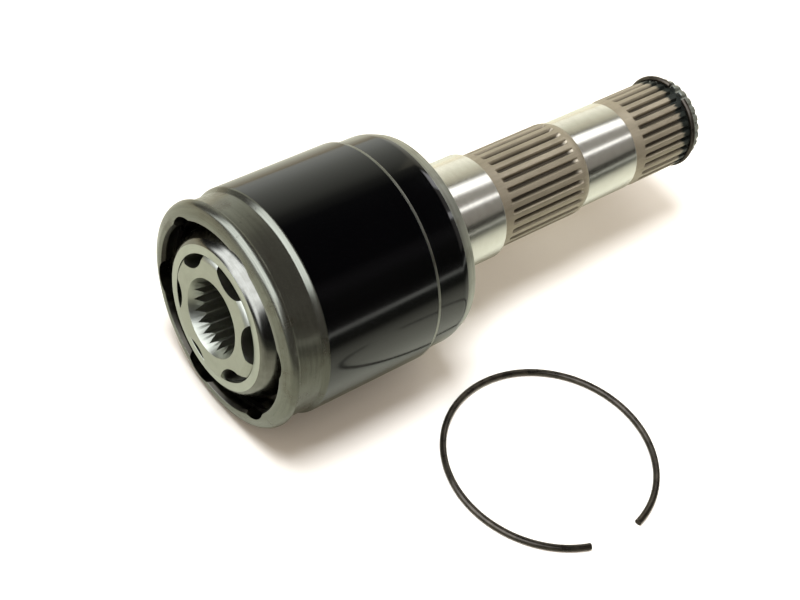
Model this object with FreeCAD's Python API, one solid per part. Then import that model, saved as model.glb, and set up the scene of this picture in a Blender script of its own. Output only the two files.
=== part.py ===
import FreeCAD, Part

import math
import os

Vector = FreeCAD.Vector

# Inboard double-offset constant velocity joint, in millimetres.
# X is the joint's axis, from the open mouth of the bell to the splined end of the stub.
# Z is up: the joint lies on its side, on the rim and the body of the bell.
# The origin is on the axis, in the plane of the cage's front face; the bell's face is just behind it.

# Running gear
BALL_COUNT = 6
BALL_DIAMETER = 15.875
BALL_PITCH_RADIUS = 23.05
BALL_PLANE_X = 14.85
FIRST_BALL_ANGLE = 42.0
SPHERE_OFFSET = 3.2
TRACK_CLEARANCE = 0.0625

# The loose running gear has sagged a little in the mouth: the cage leans by this much in the bell,
# and the inner race leans by as much again in the cage
REST_TILT = -2.05

# Cage, a ring between two spheres whose centres lie either side of the ball plane
CAGE_RISE = 5.95
CAGE_FRONT_LENGTH = 14.85
CAGE_LENGTH = 27.4
CAGE_REAR_LIP = 2.15
CAGE_FRONT_CHAMFER = 0.5
CAGE_REAR_CHAMFER = 1.2
WINDOW_CLEARANCE = 0.13
WINDOW_SIDE_PLAY = 1.2
WINDOW_CORNER_RADIUS = 2.8

# Inner race
RACE_FALL = 0.5
RACE_CLEARANCE = 0.08
RACE_FRONT_LENGTH = 16.05
RACE_LENGTH = 28.0
RACE_FACE_INSET = 4.85
RACE_EDGE_CONE = 0.9
RACE_EDGE_CONE_RISE = 1.4
RACE_SPLINE_TEETH = 20
RACE_SPLINE_FIRST_GAP = 2.0
RACE_SPLINE_TIP_RADIUS = 10.3
RACE_SPLINE_DEPTH = 1.2
RACE_SPLINE_GAP_SHARE = 0.9
RACE_BORE_CHAMFER_RISE = 1.86
RACE_BORE_CHAMFER_DEPTH = 4.6

# Inside of the bell
BELL_LAND_CLEARANCE = 0.08
MOUTH_FACE_X = 1.1
MOUTH_CHAMFER_RISE = 0.72
MOUTH_CHAMFER_DEPTH = 1.3
RETAINER_GROOVE_X = 4.8
RETAINER_GROOVE_WIDTH = 2.3
RETAINER_GROOVE_DEPTH = 1.8
BELL_BORE_DEPTH = 57.0
BELL_FLOOR_RISE = 1.6
BELL_FLOOR_INSET = 5.1
BELL_FLOOR_DISH_DEPTH = 3.4

# Outside of the bell
BELL_WALL = 3.95
RIM_FACE_INSET = 3.5
RIM_FACE_ROUND = 0.3
RIM_CONE_LENGTH = 1.65
RIM_EDGE_ROUND = 1.6
RIM_LENGTH = 4.4
RIM_BACK_ROUND = 0.5
BOOT_SEAT_FALL = 0.7
BOOT_SEAT_DEPTH = 1.1
BOOT_SEAT_END_X = 13.1
SHOULDER_LENGTH = 1.6
BODY_EDGE_ROUND = 0.5
BODY_END_X = 54.5
BODY_STEP_LENGTH = 0.5
REAR_STEP = 1.25
REAR_END_X = 65.8
REAR_EDGE_ROUND = 1.4
BACK_TAPER_LENGTH = 4.6
BACK_TAPER_FALL = 1.8
BACK_FACE_LENGTH = 1.8
BACK_FILLET = 1.6

# Stub shaft, forged in one piece with the bell
JOURNAL_1_RADIUS = 17.25
JOURNAL_1_END_X = 95.5
JOURNAL_CHAMFER = 0.5
SPLINE_1_RADIUS = 15.65
SPLINE_1_TEETH = 28
SPLINE_1_FIRST_GAP = 100.2
SPLINE_1_LEAD = 4.0
SPLINE_1_LENGTH = 29.6
SPLINE_1_TAIL = 1.1
SPLINE_1_TAIL_CONE = 2.05
JOURNAL_2_RADIUS = 14.85
JOURNAL_2_LENGTH = 21.2
SPLINE_2_RADIUS = 14.9
SPLINE_2_TEETH = 28
SPLINE_2_FIRST_GAP = 108.2
SPLINE_2_LEAD = 3.55
STUB_END_X = 184.0
STUB_END_CHAMFER_LENGTH = 2.6
STUB_END_CHAMFER_FALL = 0.9
NECK_FALL = 0.25
TOOTH_DEPTH = 1.3
TOOTH_GAP_TOP = 1.8
TOOTH_GAP_ROOT = 0.8
TOOTH_RAMP = 1.5
CENTRE_HOLE_RADIUS = 3.4
CENTRE_HOLE_DEPTH = 5.6
CENTRE_DRILL_RADIUS = 1.3
CENTRE_DRILL_DEPTH = 8.0

# Circlip of the stub and its groove
CLIP_WIRE_DIAMETER = 1.7
CLIP_GROOVE_CLEARANCE = 0.25
CLIP_GROOVE_DEPTH = 1.4
CLIP_FROM_END = 4.2
CLIP_SEAT_CLEARANCE = 0.6
CLIP_LIFT = 0.45
CLIP_GAP_START = 86.0
CLIP_GAP = 26.0

# Retaining snap ring of the mouth, left off and lying on the floor beside the joint
SNAP_WIRE_DIAMETER = 2.0
SNAP_RING_RADIUS = 32.9
SNAP_RING_X = 76.8
SNAP_RING_Y = -72.0
SNAP_GAP_DIRECTION = -94.0
SNAP_GAP = 32.0

# Stations and radii that follow from the sizes above
OUTER_CENTRE_X = BALL_PLANE_X + SPHERE_OFFSET
INNER_CENTRE_X = BALL_PLANE_X - SPHERE_OFFSET
BALL_RADIUS = BALL_DIAMETER / 2
TRACK_RADIUS = BALL_RADIUS + TRACK_CLEARANCE
CAGE_OUTER_RADIUS = BALL_PITCH_RADIUS + CAGE_RISE
CAGE_FRONT_X = BALL_PLANE_X - CAGE_FRONT_LENGTH
WINDOW_WIDTH = BALL_DIAMETER + 2 * WINDOW_SIDE_PLAY
RACE_OUTER_RADIUS = BALL_PITCH_RADIUS - RACE_FALL
RACE_FRONT_X = BALL_PLANE_X - RACE_FRONT_LENGTH
RACE_FACE_RADIUS = RACE_OUTER_RADIUS - RACE_FACE_INSET
RACE_SPLINE_ROOT_RADIUS = RACE_SPLINE_TIP_RADIUS + RACE_SPLINE_DEPTH
RACE_BORE_CHAMFER_RADIUS = RACE_SPLINE_TIP_RADIUS + RACE_BORE_CHAMFER_RISE
CAGE_REAR_BORE_RADIUS = RACE_OUTER_RADIUS - CAGE_REAR_LIP
LAND_RADIUS = CAGE_OUTER_RADIUS + BELL_LAND_CLEARANCE
MOUTH_CHAMFER_RADIUS = LAND_RADIUS + MOUTH_CHAMFER_RISE
RETAINER_GROOVE_RADIUS = LAND_RADIUS + RETAINER_GROOVE_DEPTH
BELL_FLOOR_EDGE_RADIUS = LAND_RADIUS - BELL_FLOOR_INSET
BODY_RADIUS = BALL_PITCH_RADIUS + TRACK_RADIUS + BELL_WALL
RIM_RADIUS = BODY_RADIUS
RIM_FACE_RADIUS = RIM_RADIUS - RIM_FACE_INSET
BOOT_SEAT_RADIUS = BODY_RADIUS - BOOT_SEAT_DEPTH
REAR_RADIUS = BODY_RADIUS - REAR_STEP
FLOOR_Z = -BODY_RADIUS
JOURNAL_1_START_X = REAR_END_X + BACK_TAPER_LENGTH + BACK_FACE_LENGTH
SPLINE_1_START_X = JOURNAL_1_END_X + JOURNAL_CHAMFER + SPLINE_1_LEAD
SPLINE_1_END_X = SPLINE_1_START_X + SPLINE_1_LENGTH
JOURNAL_2_START_X = SPLINE_1_END_X + SPLINE_1_TAIL + SPLINE_1_TAIL_CONE
JOURNAL_2_END_X = JOURNAL_2_START_X + JOURNAL_2_LENGTH
SPLINE_2_START_X = JOURNAL_2_END_X + JOURNAL_CHAMFER + SPLINE_2_LEAD
STUB_END_RADIUS = SPLINE_2_RADIUS - STUB_END_CHAMFER_FALL
CLIP_X = STUB_END_X - CLIP_FROM_END
CLIP_GROOVE_WIDTH = CLIP_WIRE_DIAMETER + 2 * CLIP_GROOVE_CLEARANCE
CLIP_GROOVE_RADIUS = SPLINE_2_RADIUS - CLIP_GROOVE_DEPTH
CLIP_INNER_RADIUS = CLIP_GROOVE_RADIUS + CLIP_SEAT_CLEARANCE
OVERCUT = 2.0
SHALLOW_CUT = 0.02


def around(angle, radius, x=0.0):
    """The point at an angle about the X axis, counted from +Y towards +Z."""
    turn = math.radians(angle)
    return Vector(x, radius * math.cos(turn), radius * math.sin(turn))


def corner_edges(before, corner, after, rounding):
    """The two ends and the middle of the arc that rounds a corner."""
    inward = (before - corner).normalize()
    outward = (after - corner).normalize()
    half = inward.getAngle(outward) / 2
    reach = rounding / math.tan(half)
    centre = corner + (inward + outward).normalize() * (rounding / math.sin(half))
    middle = centre + (corner - centre).normalize() * rounding
    return corner + inward * reach, middle, corner + outward * reach


def outline_face(corners):
    """A closed flat face from (x, r) corners; a third value rounds the corner."""
    points = [Vector(corner[0], corner[1], 0) for corner in corners]
    count = len(points)
    stops = []
    for index, corner in enumerate(corners):
        if len(corner) == 3:
            arc = corner_edges(points[index - 1], points[index], points[(index + 1) % count], corner[2])
            stops.append(arc)
        else:
            stops.append((points[index],))
    edges = []
    for index, stop in enumerate(stops):
        if len(stop) == 3:
            edges.append(Part.Arc(*stop).toShape())
        following = stops[(index + 1) % count]
        if (following[0] - stop[-1]).Length > 1e-6:
            edges.append(Part.LineSegment(stop[-1], following[0]).toShape())
    return Part.Face(Part.Wire(edges))


def turned(corners):
    """A solid turned about the X axis from its half outline."""
    return outline_face(corners).revolve(Vector(0, 0, 0), Vector(1, 0, 0), 360)


def rod(radius, start_x, end_x, angle=0.0, offset=0.0):
    """A round bar parallel to the X axis, set off the axis at an angle."""
    return Part.makeCylinder(radius, end_x - start_x, around(angle, offset, start_x), Vector(1, 0, 0))


def ball_angles():
    """The angle of each ball about the X axis."""
    return [FIRST_BALL_ANGLE + 360.0 * index / BALL_COUNT for index in range(BALL_COUNT)]


def ring_of(shape, count, first=0.0):
    """Copies of a shape, spaced evenly about the X axis from a first turn on."""
    copies = []
    for index in range(count):
        copy = shape.copy()
        copy.rotate(Vector(0, 0, 0), Vector(1, 0, 0), first + 360.0 * index / count)
        copies.append(copy)
    return Part.makeCompound(copies)


def gap_section(x, tip_radius, fall):
    """The section of a gap between two teeth, sunk by a fall into the tip radius."""
    top = tip_radius + OVERCUT / 4
    slope = (TOOTH_GAP_TOP - TOOTH_GAP_ROOT) / 2 / TOOTH_DEPTH
    root = tip_radius - fall
    half_root = TOOTH_GAP_ROOT / 2 * fall / TOOTH_DEPTH
    half_top = half_root + slope * (top - root)
    corners = [(half_top, top), (half_root, root), (-half_root, root), (-half_top, top)]
    return Part.makePolygon([Vector(x, y, z) for y, z in corners + corners[:1]])


def tooth_gap(start_x, end_x, tip_radius, ramp_at_end):
    """The cutter for one gap of a spline, with a ramp where the hob ran out."""
    sections = [gap_section(start_x, tip_radius, SHALLOW_CUT)]
    sections.append(gap_section(start_x + TOOTH_RAMP, tip_radius, TOOTH_DEPTH))
    if ramp_at_end:
        sections.append(gap_section(end_x - TOOTH_RAMP, tip_radius, TOOTH_DEPTH))
        sections.append(gap_section(end_x, tip_radius, SHALLOW_CUT))
    else:
        sections.append(gap_section(end_x, tip_radius, TOOTH_DEPTH))
    return Part.makeLoft(sections, True, True)


def bell_outline():
    """The outside of the bell and its stub, as one turned outline."""
    back_taper_x = REAR_END_X + BACK_TAPER_LENGTH
    back_taper_radius = REAR_RADIUS - BACK_TAPER_FALL
    neck_radius_1 = SPLINE_1_RADIUS - NECK_FALL
    neck_radius_2 = SPLINE_2_RADIUS - NECK_FALL
    return [
        (MOUTH_FACE_X, 0),
        (MOUTH_FACE_X, RIM_FACE_RADIUS, RIM_FACE_ROUND),
        (MOUTH_FACE_X + RIM_CONE_LENGTH, RIM_RADIUS, RIM_EDGE_ROUND),
        (RIM_LENGTH, RIM_RADIUS, RIM_BACK_ROUND),
        (RIM_LENGTH + BOOT_SEAT_FALL, BOOT_SEAT_RADIUS),
        (BOOT_SEAT_END_X, BOOT_SEAT_RADIUS),
        (BOOT_SEAT_END_X + SHOULDER_LENGTH, BODY_RADIUS, BODY_EDGE_ROUND),
        (BODY_END_X, BODY_RADIUS),
        (BODY_END_X + BODY_STEP_LENGTH, REAR_RADIUS),
        (REAR_END_X, REAR_RADIUS, REAR_EDGE_ROUND),
        (back_taper_x, back_taper_radius, REAR_EDGE_ROUND / 2),
        (JOURNAL_1_START_X, JOURNAL_1_RADIUS, BACK_FILLET),
        (JOURNAL_1_END_X, JOURNAL_1_RADIUS),
        (JOURNAL_1_END_X + JOURNAL_CHAMFER, neck_radius_1),
        (SPLINE_1_START_X - TOOTH_RAMP, neck_radius_1),
        (SPLINE_1_START_X, SPLINE_1_RADIUS),
        (SPLINE_1_END_X + SPLINE_1_TAIL, SPLINE_1_RADIUS, SPLINE_1_TAIL / 2),
        (JOURNAL_2_START_X, JOURNAL_2_RADIUS),
        (JOURNAL_2_END_X, JOURNAL_2_RADIUS),
        (JOURNAL_2_END_X + JOURNAL_CHAMFER, neck_radius_2),
        (SPLINE_2_START_X - TOOTH_RAMP, neck_radius_2),
        (SPLINE_2_START_X, SPLINE_2_RADIUS),
        (STUB_END_X - STUB_END_CHAMFER_LENGTH, SPLINE_2_RADIUS),
        (STUB_END_X, STUB_END_RADIUS),
        (STUB_END_X, 0),
    ]


def bell_cavity():
    """The bore of the bell: lead-in cone, cylindrical lands and a dished floor."""
    floor_x = BELL_BORE_DEPTH
    return turned([
        (-OVERCUT, 0),
        (-OVERCUT, MOUTH_CHAMFER_RADIUS),
        (MOUTH_FACE_X, MOUTH_CHAMFER_RADIUS),
        (MOUTH_FACE_X + MOUTH_CHAMFER_DEPTH, LAND_RADIUS),
        (floor_x, LAND_RADIUS),
        (floor_x + BELL_FLOOR_RISE, BELL_FLOOR_EDGE_RADIUS),
        (floor_x + BELL_FLOOR_RISE + BELL_FLOOR_DISH_DEPTH, 0),
    ])


def retainer_groove():
    """The groove across the lands that takes the mouth's snap ring."""
    end_x = RETAINER_GROOVE_X + RETAINER_GROOVE_WIDTH
    outside = rod(RETAINER_GROOVE_RADIUS, RETAINER_GROOVE_X, end_x)
    return outside.cut(rod(LAND_RADIUS - OVERCUT, RETAINER_GROOVE_X, end_x))


def clip_groove():
    """The groove of the circlip near the end of the stub."""
    start_x = CLIP_X - CLIP_GROOVE_WIDTH / 2
    end_x = CLIP_X + CLIP_GROOVE_WIDTH / 2
    outside = rod(SPLINE_2_RADIUS + OVERCUT, start_x, end_x)
    return outside.cut(rod(CLIP_GROOVE_RADIUS, start_x, end_x))


def centre_hole():
    """The turning centre in the stub's end face."""
    return turned([
        (STUB_END_X + OVERCUT, 0),
        (STUB_END_X + OVERCUT, CENTRE_HOLE_RADIUS),
        (STUB_END_X, CENTRE_HOLE_RADIUS),
        (STUB_END_X - CENTRE_HOLE_DEPTH, CENTRE_DRILL_RADIUS),
        (STUB_END_X - CENTRE_DRILL_DEPTH, CENTRE_DRILL_RADIUS),
        (STUB_END_X - CENTRE_DRILL_DEPTH, 0),
    ])


def make_outer_race():
    """The bell with its six straight tracks and the stub with its two splines."""
    body = turned(bell_outline())
    tracks = []
    for angle in ball_angles():
        tracks.append(rod(TRACK_RADIUS, -OVERCUT, BELL_BORE_DEPTH, angle, BALL_PITCH_RADIUS))
    body = body.cut(bell_cavity())
    body = body.cut(Part.makeCompound(tracks))
    body = body.cut(retainer_groove())
    first_gap = tooth_gap(SPLINE_1_START_X, SPLINE_1_END_X, SPLINE_1_RADIUS, True)
    body = body.cut(ring_of(first_gap, SPLINE_1_TEETH, SPLINE_1_FIRST_GAP - 90))
    second_gap = tooth_gap(SPLINE_2_START_X, STUB_END_X + OVERCUT, SPLINE_2_RADIUS, False)
    body = body.cut(ring_of(second_gap, SPLINE_2_TEETH, SPLINE_2_FIRST_GAP - 90))
    body = body.cut(clip_groove())
    return body.cut(centre_hole())


def race_spline_gap():
    """The cutter for one V groove of the inner race's spline."""
    half_pitch = math.pi / RACE_SPLINE_TEETH
    start_x = RACE_FRONT_X - OVERCUT
    inner = RACE_SPLINE_TIP_RADIUS - OVERCUT / 4
    half_width = RACE_SPLINE_TIP_RADIUS * math.tan(half_pitch) * RACE_SPLINE_GAP_SHARE
    flank = half_width / (RACE_SPLINE_ROOT_RADIUS - RACE_SPLINE_TIP_RADIUS)
    half_inner = half_width + flank * (RACE_SPLINE_TIP_RADIUS - inner)
    corners = [(half_inner, inner), (0, RACE_SPLINE_ROOT_RADIUS), (-half_inner, inner)]
    section = Part.makePolygon([Vector(start_x, y, z) for y, z in corners + corners[:1]])
    return Part.Face(section).extrude(Vector(RACE_LENGTH + 2 * OVERCUT, 0, 0))


def make_inner_race():
    """The splined inner race, a sphere with six straight ball grooves."""
    start_x = RACE_FRONT_X
    end_x = RACE_FRONT_X + RACE_LENGTH
    blank = turned([
        (start_x, 0),
        (start_x, RACE_FACE_RADIUS),
        (start_x + RACE_EDGE_CONE, RACE_FACE_RADIUS + RACE_EDGE_CONE_RISE),
        (start_x + RACE_EDGE_CONE, RACE_OUTER_RADIUS + OVERCUT),
        (end_x, RACE_OUTER_RADIUS + OVERCUT),
        (end_x, 0),
    ])
    race = blank.common(Part.makeSphere(RACE_OUTER_RADIUS, Vector(INNER_CENTRE_X, 0, 0)))
    grooves = []
    for angle in ball_angles():
        grooves.append(rod(TRACK_RADIUS, start_x - OVERCUT, end_x + OVERCUT, angle, BALL_PITCH_RADIUS))
    race = race.cut(Part.makeCompound(grooves))
    race = race.cut(rod(RACE_SPLINE_TIP_RADIUS, start_x - OVERCUT, end_x + OVERCUT))
    race = race.cut(ring_of(race_spline_gap(), RACE_SPLINE_TEETH, RACE_SPLINE_FIRST_GAP - 90))
    front_cone = turned([
        (start_x, 0),
        (start_x, RACE_BORE_CHAMFER_RADIUS),
        (start_x + RACE_BORE_CHAMFER_DEPTH, RACE_SPLINE_TIP_RADIUS),
        (start_x + RACE_BORE_CHAMFER_DEPTH, 0),
    ])
    rear_cone = turned([
        (end_x, 0),
        (end_x, RACE_BORE_CHAMFER_RADIUS),
        (end_x - RACE_BORE_CHAMFER_DEPTH / 2, RACE_SPLINE_TIP_RADIUS),
        (end_x - RACE_BORE_CHAMFER_DEPTH / 2, 0),
    ])
    return race.cut(front_cone).cut(rear_cone)


def cage_window():
    """The rounded slot that holds one ball, cut along +Y."""
    half_length = BALL_RADIUS + WINDOW_CLEARANCE
    half_width = WINDOW_WIDTH / 2
    low_x = BALL_PLANE_X - half_length
    high_x = BALL_PLANE_X + half_length
    corners = [
        (low_x, -half_width, WINDOW_CORNER_RADIUS),
        (high_x, -half_width, WINDOW_CORNER_RADIUS),
        (high_x, half_width, WINDOW_CORNER_RADIUS),
        (low_x, half_width, WINDOW_CORNER_RADIUS),
    ]
    slot = outline_face(corners).extrude(Vector(0, 0, CAGE_OUTER_RADIUS + OVERCUT))
    slot.rotate(Vector(0, 0, 0), Vector(1, 0, 0), FIRST_BALL_ANGLE - 90)
    return slot


def make_cage():
    """The ball cage, spherical outside and inside, with a window for each ball."""
    start_x = CAGE_FRONT_X
    end_x = CAGE_FRONT_X + CAGE_LENGTH
    front_radius = math.sqrt(CAGE_OUTER_RADIUS ** 2 - (OUTER_CENTRE_X - start_x) ** 2)
    rear_radius = math.sqrt(CAGE_OUTER_RADIUS ** 2 - (end_x - OUTER_CENTRE_X) ** 2)
    blank = turned([
        (start_x, 0),
        (start_x, front_radius - CAGE_FRONT_CHAMFER),
        (start_x + CAGE_FRONT_CHAMFER, front_radius + CAGE_FRONT_CHAMFER),
        (start_x + CAGE_FRONT_CHAMFER, CAGE_OUTER_RADIUS + OVERCUT),
        (end_x - CAGE_REAR_CHAMFER, CAGE_OUTER_RADIUS + OVERCUT),
        (end_x - CAGE_REAR_CHAMFER, rear_radius + CAGE_REAR_CHAMFER / 2),
        (end_x, rear_radius - CAGE_REAR_CHAMFER),
        (end_x, 0),
    ])
    cage = blank.common(Part.makeSphere(CAGE_OUTER_RADIUS, Vector(OUTER_CENTRE_X, 0, 0)))
    cage = cage.cut(Part.makeSphere(RACE_OUTER_RADIUS + RACE_CLEARANCE, Vector(INNER_CENTRE_X, 0, 0)))
    cage = cage.cut(rod(CAGE_REAR_BORE_RADIUS, INNER_CENTRE_X, end_x + OVERCUT))
    return cage.cut(ring_of(cage_window(), BALL_COUNT))


def tilt_axis_angle():
    """The angle about the X axis of the ball that the running gear leans about."""
    return ball_angles()[BALL_COUNT // 3]


def leaned(shape, centre_x):
    """A shape turned by the sag about the tilt axis through a place on the joint's axis."""
    shape.rotate(Vector(centre_x, 0, 0), around(tilt_axis_angle(), 1.0), REST_TILT)
    return shape


def make_ball(angle):
    """One steel ball, moved along its track as far as the leaning cage takes it."""
    lever = BALL_PITCH_RADIUS * math.sin(math.radians(angle - tilt_axis_angle()))
    travel = lever * math.radians(REST_TILT)
    return Part.makeSphere(BALL_RADIUS, around(angle, BALL_PITCH_RADIUS, BALL_PLANE_X + travel))


def wire_ring(wire_diameter, mean_radius, gap):
    """An open ring of round wire about the Z axis, its gap centred on +X."""
    section = Part.Circle(Vector(mean_radius, 0, 0), Vector(0, 1, 0), wire_diameter / 2)
    face = Part.Face(Part.Wire(section.toShape()))
    face.rotate(Vector(0, 0, 0), Vector(0, 0, 1), gap / 2)
    return face.revolve(Vector(0, 0, 0), Vector(0, 0, 1), 360 - gap)


def make_stub_circlip():
    """The round-wire circlip in the stub's groove, standing a little proud."""
    ring = wire_ring(CLIP_WIRE_DIAMETER, CLIP_INNER_RADIUS + CLIP_WIRE_DIAMETER / 2, CLIP_GAP)
    ring.rotate(Vector(0, 0, 0), Vector(0, 1, 0), 90)
    ring.rotate(Vector(0, 0, 0), Vector(1, 0, 0), CLIP_GAP_START + CLIP_GAP / 2 + 90)
    ring.translate(Vector(CLIP_X, 0, CLIP_LIFT))
    return ring


def make_snap_ring():
    """The wire snap ring that retains the balls, free and flat on the floor."""
    ring = wire_ring(SNAP_WIRE_DIAMETER, SNAP_RING_RADIUS, SNAP_GAP)
    ring.rotate(Vector(0, 0, 0), Vector(0, 0, 1), SNAP_GAP_DIRECTION)
    ring.translate(Vector(SNAP_RING_X, SNAP_RING_Y, FLOOR_Z + SNAP_WIRE_DIAMETER / 2))
    return ring


def main():
    """Build every piece and write one STEP file for each."""
    pieces = {
        "outer_race": make_outer_race(),
        "inner_race": leaned(leaned(make_inner_race(), INNER_CENTRE_X), OUTER_CENTRE_X),
        "cage": leaned(make_cage(), OUTER_CENTRE_X),
        "stub_circlip": make_stub_circlip(),
        "snap_ring": make_snap_ring(),
    }
    for index, angle in enumerate(ball_angles()):
        pieces["ball_%d" % (index + 1)] = make_ball(angle)
    for name, shape in pieces.items():
        print(name, shape.isValid(), len(shape.Solids), round(shape.Volume, 1))
        shape.exportStep("parts/%s.step" % name)


main()
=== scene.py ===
import math
import bmesh
import bpy
from mathutils import Matrix, Vector


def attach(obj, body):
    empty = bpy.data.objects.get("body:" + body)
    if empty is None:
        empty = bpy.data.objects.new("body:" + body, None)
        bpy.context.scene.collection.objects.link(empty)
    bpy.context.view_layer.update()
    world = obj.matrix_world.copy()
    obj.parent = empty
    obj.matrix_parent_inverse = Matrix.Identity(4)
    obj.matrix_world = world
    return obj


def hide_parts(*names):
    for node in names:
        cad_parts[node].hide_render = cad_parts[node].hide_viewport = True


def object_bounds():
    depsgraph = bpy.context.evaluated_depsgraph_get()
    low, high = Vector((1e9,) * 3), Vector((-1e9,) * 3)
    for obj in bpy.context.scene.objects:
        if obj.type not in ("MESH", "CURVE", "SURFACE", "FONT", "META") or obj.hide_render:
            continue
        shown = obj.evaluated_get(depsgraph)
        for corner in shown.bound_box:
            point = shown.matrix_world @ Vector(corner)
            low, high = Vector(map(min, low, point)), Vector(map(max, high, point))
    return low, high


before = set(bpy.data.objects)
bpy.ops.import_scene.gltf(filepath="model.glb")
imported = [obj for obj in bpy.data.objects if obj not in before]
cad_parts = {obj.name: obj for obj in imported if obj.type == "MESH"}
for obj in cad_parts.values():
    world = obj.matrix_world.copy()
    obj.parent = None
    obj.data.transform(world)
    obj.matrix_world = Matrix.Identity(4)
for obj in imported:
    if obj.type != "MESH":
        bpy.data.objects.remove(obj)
CAD_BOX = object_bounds()

MM = 0.001
MERGE = 1e-7
NEAR = 1e-6
AROUND = 256
RING_AROUND = 160

# Bell and stub, in millimetres along and out from the joint's axis
MOUTH_FACE_X = 1.1
MOUTH_CHAMFER_RADIUS = 29.8
MOUTH_CHAMFER_END_X = 2.4
LAND_RADIUS = 29.08
RETAINER_GROOVE_X = 4.8
RETAINER_GROOVE_WIDTH = 2.3
RETAINER_GROOVE_RADIUS = 30.88
BORE_DEPTH = 57.0
FLOOR_EDGE = (58.6, 23.98)
FLOOR_CENTRE_X = 62.0
RIM_FACE_RADIUS = 31.5
RIM_CONE_END_X = 2.75
RIM_RADIUS = 35.0
RIM_LENGTH = 4.4
BOOT_SEAT_START_X = 5.1
BOOT_SEAT_RADIUS = 33.9
BOOT_SEAT_END_X = 13.1
BODY_START_X = 14.7
BODY_RADIUS = 35.0
BODY_END_X = 54.5
BARE_EDGE = 0.9
REAR_START_X = 55.0
REAR_RADIUS = 33.75
REAR_END_X = 65.8
TAPER_END = (70.4, 31.95)
JOURNAL_1_START_X = 72.2
JOURNAL_1_RADIUS = 17.25
JOURNAL_1_END_X = 95.5
JOURNAL_CHAMFER = 0.5
SPLINE_1_RADIUS = 15.65
SPLINE_1_START_X = 100.0
SPLINE_1_END_X = 129.6
SPLINE_1_TEETH = 28
SPLINE_1_FIRST_GAP = 100.2
SPLINE_1_TAIL_X = 130.7
JOURNAL_2_START_X = 132.75
JOURNAL_2_RADIUS = 14.85
JOURNAL_2_END_X = 153.95
SPLINE_2_RADIUS = 14.9
SPLINE_2_START_X = 158.0
SPLINE_2_TEETH = 28
SPLINE_2_FIRST_GAP = 108.2
CLIP_GROOVE = (178.7, 180.9, 13.5)
STUB_CHAMFER_X = 181.4
STUB_END = (184.0, 14.0)
NECK_FALL = 0.25
TOOTH_DEPTH = 1.3
TOOTH_GAP_TOP = 1.8
TOOTH_GAP_ROOT = 0.8
TOOTH_RAMP = 1.5
CENTRE_HOLE = (3.4, 178.4, 1.3, 176.0)
HIDDEN = 1.0
CUT_PAST = 5.0

# Running gear
BALL_ANGLES = [42.0 + 60.0 * index for index in range(6)]
BALL_PITCH_RADIUS = 23.05
TRACK_RADIUS = 8.003
BALL_PLANE_X = 14.85
CAGE_CENTRE_X = 18.05
RACE_CENTRE_X = 11.65
CAGE_RADIUS = 29.0
CAGE_INNER_RADIUS = 22.63
CAGE_ENDS = (0.0, 27.4)
CAGE_REAR_BORE = 20.4
WINDOW_LENGTH = 16.135
WINDOW_WIDTH = 18.275
WINDOW_CORNER = 2.8
WINDOW_CUT_MIDDLE = 21.5
WINDOW_CUT_HEIGHT = 19.0
RACE_RADIUS = 22.55
RACE_ENDS = (-1.2, 26.8)
RACE_FACE_RADIUS = 17.7
RACE_EDGE_CONE = (-0.3, 19.1)
RACE_TEETH = 20
RACE_FIRST_GAP = 2.0
TILT_AXIS_ANGLE = 162.0
REST_TILT = -2.05
RACE_TIP_RADIUS = 10.3
RACE_ROOT_RADIUS = 11.5
RACE_TIP_SHARE = 0.885
RACE_CHAMFER_RADIUS = 12.16
RACE_CHAMFER_DEPTH = 4.6

# Stains and painted shade, in millimetres: where the painted shade on the seat's lower side is deepest and
# ends, how deep a spline's gap turns dark with painted shade, and where the hardened end is burnt
SEAT_SHADE_LOW_Z = -26.0
SEAT_SHADE_HIGH_Z = 12.0
SEAT_SHADE_START_X = 4.0
SEAT_SHADE_FULL_X = 5.5
SPLINE_SPLIT_X = 132.0
GAP_SHADE_START = 0.4
GAP_SHADE_FULL = 1.3
BURNT_START_X = 177.2
BURNT_FULL_X = 178.4
BURNT_RAGGED = 4.0

# Camera, fitted to the photograph: place in metres, turn, and focal length in pixels of 800
CAMERA_PLACE = Vector((-0.202308, -0.249333, 0.363232))
CAMERA_AZIMUTH = 47.791
CAMERA_ELEVATION = 46.805
CAMERA_ROLL = 13.603
CAMERA_FOCAL_PIXELS = 1700.0
IMAGE_WIDTH = 800
IMAGE_HEIGHT = 600
CAMERA_CENTRE = (396.05, 301.91)
SENSOR_WIDTH = 36.0


def linear(hex_colour):
    """A linear RGBA colour from an sRGB hex value."""
    channels = [int(hex_colour[index:index + 2], 16) / 255 for index in (0, 2, 4)]
    return [c / 12.92 if c <= 0.04045 else ((c + 0.055) / 1.055) ** 2.4 for c in channels] + [1.0]


def add(tree, kind, links=None, **settings):
    """Adds a node, sets its properties, and fills or links its inputs."""
    made = tree.nodes.new(kind)
    for name, value in settings.items():
        setattr(made, name, value)
    for name, value in (links or {}).items():
        if isinstance(value, bpy.types.NodeSocket):
            tree.links.new(value, made.inputs[name])
        else:
            made.inputs[name].default_value = value
    return made


def new_material(name):
    """An empty node material with its output."""
    material = bpy.data.materials.new(name)
    material.use_nodes = True
    material.node_tree.nodes.clear()
    return material, material.node_tree


def finish_material(tree, shader):
    """Links a shader to the material's output."""
    add(tree, "ShaderNodeOutputMaterial", {"Surface": shader.outputs[0]})


def blend_colours(tree, factor, low, high, mode="MIX"):
    """A colour mixed between two hex values or sockets by a factor socket or number."""
    low = linear(low) if isinstance(low, str) else low
    high = linear(high) if isinstance(high, str) else high
    mixer = add(tree, "ShaderNodeMix", data_type="RGBA", blend_type=mode)
    for index, value in ((0, factor), (6, low), (7, high)):
        if isinstance(value, bpy.types.NodeSocket):
            tree.links.new(value, mixer.inputs[index])
        else:
            mixer.inputs[index].default_value = value
    return mixer.outputs[2]


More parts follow.
